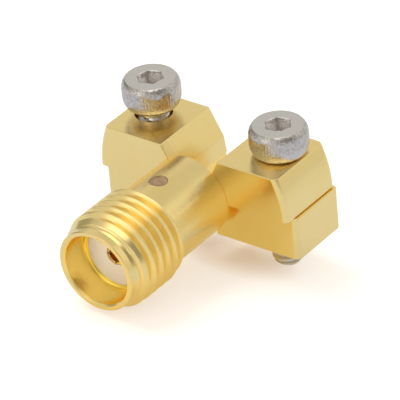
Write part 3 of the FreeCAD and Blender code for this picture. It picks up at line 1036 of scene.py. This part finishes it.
class CONNECTOR_OT_insulator(Operator):
    """Dielectric that holds the centre contact"""

    bl_idname = "connector.insulator"
    bl_label = "Insulator"

    def execute(self, context):
        barrel, inner = chosen("barrel"), chosen("inner")
        face = barrel.bore_depth - barrel.barrel_length
        shoulder = -barrel.rear_length - inner.clearance
        hole = inner.contact_diameter / 2 + inner.clearance
        neck = inner.neck_diameter / 2 + inner.clearance
        wide, slim = inner.insulator_diameter / 2, inner.insulator_rear / 2
        soft = inner.insulator_round
        piece = revolved("ptfe_insulator", [
            (face, hole, soft / 2),
            (face, wide, soft),
            (shoulder, wide, soft),
            (shoulder, slim, 0),
            (0, slim, soft),
            (0, neck, 0),
            (shoulder, neck, 0),
            (shoulder, hole, 0),
        ])
        cut(piece, [plug_hole(inner, inner.plug_floor - inner.clearance)])
        finished(piece, turned_ptfe("ptfe", chosen("colours").ptfe), "shell", "dielectric")
        return {"FINISHED"}


class CONNECTOR_OT_contact(Operator):
    """Slotted centre contact with its flat launch pin"""

    bl_idname = "connector.contact"
    bl_label = "Centre contact"

    def execute(self, context):
        barrel, inner = chosen("barrel"), chosen("inner")
        front = barrel.bore_depth - barrel.barrel_length + inner.clearance
        outer, bore, neck = (inner.contact_diameter / 2, inner.contact_bore / 2,
                             inner.neck_diameter / 2)
        shoulder, end = -barrel.rear_length - 2 * inner.clearance, inner.launch_length
        floor = front + inner.contact_depth
        piece = revolved("centre_contact_socket", [
            (front, bore, 0.03),
            (front, outer, 0.04),
            (shoulder, outer, 0.03),
            (shoulder, neck, 0),
            (end, neck, 0.05),
            (end, 0, 0),
            (floor, 0, 0),
            (floor, bore, 0.05),
        ], HOLE_STEPS)
        half, back, past = inner.slot_width / 2, front + inner.slot_length, 1.0
        cut(piece, [
            block("slot_upright", (-half, front - past, -past), (half, back, past)),
            block("slot_level", (-past, front - past, -half), (past, back, half)),
            block("launch_flat", (-past, inner.clearance, -past), (past, end + past, 0)),
        ])
        paint = chosen("colours")
        finish = plated_gold("contact_plating", paint.contact, paint.gold_deep,
                             CONTACT_ROUGHNESS)
        finished(piece, finish, "shell", "centre_contact")
        return {"FINISHED"}


class CONNECTOR_OT_plug(Operator):
    """Resin plug that holds the contact and the dielectric"""

    bl_idname = "connector.plug"
    bl_label = "Captivation plug"

    def execute(self, context):
        barrel, inner = chosen("barrel"), chosen("inner")
        radius = inner.plug_diameter / 2
        crown = barrel.collar_diameter / 2 - inner.plug_sink
        rings = 12

        def build(form):
            """Rings of the crown from its centre out, then the wall and the floor."""
            rows = [[form.verts.new((0, -inner.plug_position, crown))] * HOLE_STEPS]
            for ring in range(1, rings + 1):
                reach = radius * ring / rings
                row = []
                for k in range(HOLE_STEPS):
                    x = reach * math.sin(TURN * k / HOLE_STEPS)
                    y = reach * math.cos(TURN * k / HOLE_STEPS)
                    row.append(form.verts.new(
                        (x, y - inner.plug_position, math.sqrt(crown * crown - x * x))))
                rows.append(row)
            rows.append([form.verts.new((v.co.x, v.co.y, inner.plug_floor)) for v in rows[-1]])
            for near, far in zip(rows, rows[1:]):
                skin(form, near, far)
            form.faces.new(rows[-1])

        piece = closed_mesh("resin_plug", build)
        paint = chosen("colours")
        finished(piece, cast_resin("resin", paint.resin, paint.resin_light), "shell",
                 "captivation_plug")
        return {"FINISHED"}


class CONNECTOR_OT_jaws(Operator):
    """The two clamping jaws under the wings"""

    bl_idname = "connector.jaws"
    bl_label = "Jaws"

    def execute(self, context):
        jaws, screws, paint = chosen("jaws"), chosen("screws"), chosen("colours")
        finish = plated_gold("jaw_plating", paint.gold, paint.gold_deep, PLATING_ROUGHNESS)
        top, bottom = -jaws.gap, -jaws.gap - jaws.height
        steps = edge_depths(jaws.edge_round, EDGE_ANGLES)
        levels = [(top - depth, eased(depth, jaws.edge_round)) for depth in steps]
        levels += [(bottom + depth, eased(depth, jaws.edge_round)) for depth in reversed(steps)]
        for side, body in ((1, "right_jaw"), (-1, "left_jaw")):
            sections = []
            for height, inset in levels:
                near, far = jaws.inner + inset, jaws.outer - inset
                front, back = jaws.front + inset, jaws.back - inset
                outline = soften([
                    (near, front, jaws.edge_round),
                    (far, front, jaws.front_round - inset),
                    (far, back, jaws.back_round - inset),
                    (near, back, jaws.edge_round),
                ], 7)
                sections.append([(side * x, y, height) for x, y in outline])
            piece = closed_mesh("clamp_" + body, lambda form: lofted(form, sections))
            cut(piece, [pin("tapped_hole", (side * screws.spread, screws.position, bottom - 1),
                            jaws.hole / 2, jaws.height + 2)])
            node = "jaw_right" if side > 0 else "jaw_left"
            finished(piece, finish, body, node)
        return {"FINISHED"}


def screw_head(screws, finish, knurl, turn):
    """Head along +Y from its seat: knurled wall, rounded crown and hex socket."""
    outer, height = screws.head / 2, screws.head_height
    blunt, hollow, inset = 0.06, 0.86, 0.05
    rim = screws.shank / 2 - inset
    half_hex = screws.socket / 2
    mouth = half_hex / math.cos(TURN / 12) + 2 * screws.socket_edge
    floor = height - screws.socket_depth
    steps, parts, last = 12, 8, math.radians(60)
    outline = [(0, 0), (0, rim)]
    for step in range(steps + 1):
        angle = TURN / 4 * (1 - step / steps)
        outline.append((screws.foot_tall * (1 - math.sin(angle)),
                        outer - screws.foot_in * (1 - math.cos(angle))))
    crown = height - screws.crown_tall
    wall = crown - screws.foot_tall
    outline += [(screws.foot_tall + wall * k / parts, outer) for k in range(1, parts)]
    for step in range(steps + 1):
        angle = last * step / steps
        outline.append((
            crown + screws.crown_tall * math.sin(angle) / math.sin(last),
            outer - screws.crown_in * (1 - math.cos(angle)) / (1 - math.cos(last))))

    def hexagon(angle):
        sixth = TURN / 6
        return half_hex / math.cos((angle - turn + sixth / 2) % sixth - sixth / 2)

    outline += [
        (height, mouth),
        (height, lambda angle: hexagon(angle) + screws.socket_edge),
        (height - screws.socket_edge, hexagon),
        (floor, hexagon),
        (floor - blunt, half_hex * hollow),
        (floor - DRILL_POINT, 0),
    ]
    head = closed_mesh("head", lambda form: turned(form, outline, AROUND_SCREW))
    low, high, fade = 0.1, height - 0.3, 0.6
    run_tree(head, knurl, Low=low, High=high, Fade=fade, Radius=outer,
             Depth=screws.knurl_depth, Ridges=screws.knurl_count, Finish=finish)
    return head


def screw_shank(screws, finish, thread):
    """Threaded shank along +Y from its tip to the seat of the head."""
    crest = screws.shank / 2
    root = crest - screws.thread_depth
    tip = -screws.under_head
    blunt, step, run_out, tuck = 0.02, 0.06, 0.12, 0.1
    front, back = tip + blunt, -screws.neck
    nose = root - step
    rows_each = 14
    turns = (back - front) / screws.pitch + 1
    profiles = (
        [(front, nose), (tip, nose - step / 2), (tip, 0)],
        [(back + run_out, root + blunt), (back + 2 * run_out, crest), (tuck, crest), (tuck, 0)],
    )
    return threaded(
        "shank", thread, profiles, AROUND_SHANK, Crest=crest, Root=root, Pitch=screws.pitch,
        Root_Flat=screws.root_flat, Softness=screws.thread_softness, Groove=tip,
        Front=front, Back=back, Nose=nose, Nose_End=tip + 2 * blunt,
        Lead_End=tip + screws.tip, End_Break=0.0, Rows=int(rows_each * turns) + 1,
        Finish=finish)


class CONNECTOR_OT_screws(Operator):
    """The two socket head screws: the right one seated, the left one a little up"""

    bl_idname = "connector.screws"
    bl_label = "Clamp screws"

    def execute(self, context):
        screws, wings, paint = chosen("screws"), chosen("wings"), chosen("colours")
        # The steel carries painted light in the sockets and painted shade on the heads' sides.
        finish = polished_steel("stainless", paint.steel, paint.painted_socket_light, screws)
        knurl, thread = knurl_tree(), thread_tree()
        for side, body, node, lift, turn in (
            (1, "right_screw", "screw_right", screws.seat, screws.turn_right),
            (-1, "left_screw", "screw_left", screws.raise_left, screws.turn_left),
        ):
            piece = joined("cap_" + node, [screw_head(screws, finish, knurl, turn),
                                           screw_shank(screws, finish, thread)])
            place = Vector((side * screws.spread, screws.position, wings.top + lift))
            piece.data.transform(Matrix.Translation(place) @ UPRIGHT)
            finished(piece, finish, body, node, 25.0)
        return {"FINISHED"}


OPERATORS = (
    CONNECTOR_OT_stage,
    CONNECTOR_OT_shell,
    CONNECTOR_OT_insulator,
    CONNECTOR_OT_contact,
    CONNECTOR_OT_plug,
    CONNECTOR_OT_jaws,
    CONNECTOR_OT_screws,
)


class CONNECTOR_PT_panel(Panel):
    """Steps that dress the connector"""

    bl_idname = "CONNECTOR_PT_panel"
    bl_label = "Connector"
    bl_space_type = "VIEW_3D"
    bl_region_type = "UI"
    bl_category = "Connector"

    def draw(self, context):
        for operator in OPERATORS:
            self.layout.operator(operator.bl_idname)


CLASSES = (*GROUPS.values(), *OPERATORS, CONNECTOR_PT_panel)


def register():
    for kind in CLASSES:
        bpy.utils.register_class(kind)
    for name, kind in GROUPS.items():
        setattr(bpy.types.Scene, "connector_" + name, PointerProperty(type=kind))


def unregister():
    for name in GROUPS:
        delattr(bpy.types.Scene, "connector_" + name)
    for kind in reversed(CLASSES):
        bpy.utils.unregister_class(kind)


def main():
    register()
    for operator in OPERATORS:
        getattr(bpy.ops.connector, operator.bl_idname.split(".")[1])()


if __name__ == "__main__":
    main()
